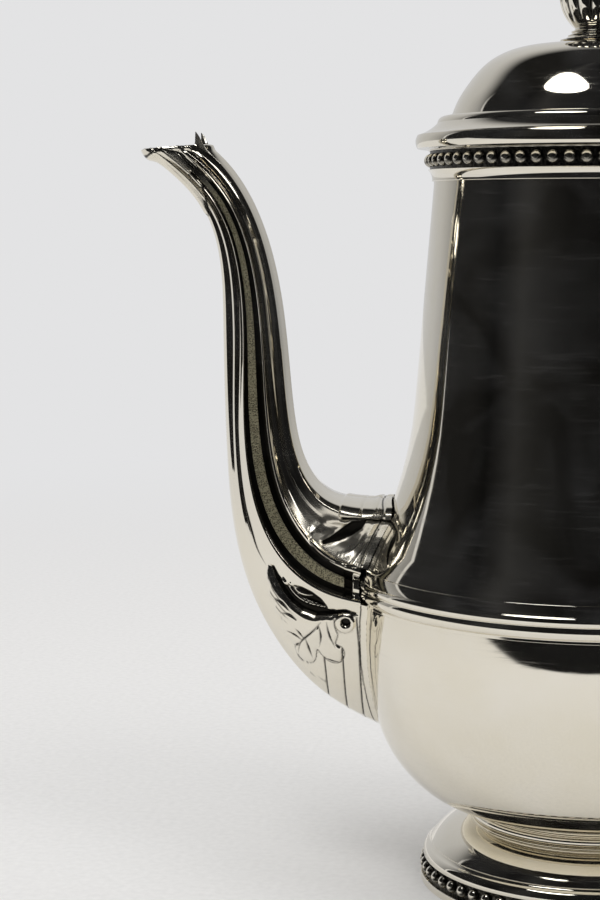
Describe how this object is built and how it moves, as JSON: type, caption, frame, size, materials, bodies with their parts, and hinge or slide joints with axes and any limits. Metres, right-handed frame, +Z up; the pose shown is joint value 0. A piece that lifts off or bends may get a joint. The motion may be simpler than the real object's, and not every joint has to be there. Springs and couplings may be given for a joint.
{
  "type": "silver coffee pot",
  "caption": "Footed silver coffee pot with a beaded foot and rim, chased swan-neck spout, insulated loop handle and a hinged domed lid with a bud finial.",
  "frame": {"origin": "centre of the plane that the foot rests on", "axes": "+Z up along the pot's turning axis; -X towards the spout, +X towards the handle and the lid's hinge; +Y along the hinge pin"},
  "size_m": [0.2283, 0.12, 0.24],
  "materials": {
    "silver": "polished silver plate with fine hairline scratches",
    "beaded_silver": "polished silver beads with dark oxide in the recesses",
    "chased_silver": "polished cast silver with dark oxide in the recesses",
    "insulator": "ivory-coloured insulating ring, satin"
  },
  "bodies": {
    "pot": {"foot_ring": "silver", "foot_bead_border": "beaded_silver", "foot_dome": "silver", "foot_collar": "silver", "lower_bowl": "silver", "belt_moulding": "silver", "upper_body": "silver", "mouth_ring": "silver", "rim_bead_border": "beaded_silver", "spout_near_half": "chased_silver", "spout_far_half": "chased_silver", "handle_upper_socket": "silver", "handle_lower_socket": "silver", "handle_upper_insulator": "insulator", "handle_lower_insulator": "insulator", "handle_grip": "silver", "handle_upper_pin": "silver", "handle_lower_pin": "silver", "hinge_body_leaf": "silver", "hinge_pin": "silver"},
    "lid": {"lid_flange": "silver", "lid_dome": "silver", "lid_bezel": "silver", "hinge_lid_leaf": "silver", "finial_plate": "silver", "finial_knob": "silver", "finial_washer": "silver", "finial_nut": "silver"}
  },
  "joints": [
    {"name": "lid_hinge", "type": "hinge", "parent": "pot", "child": "lid", "pos_m": [0.048, 0, 0.1906], "axis": [0, 1, 0], "range_deg": [0, 100]}
  ]
}
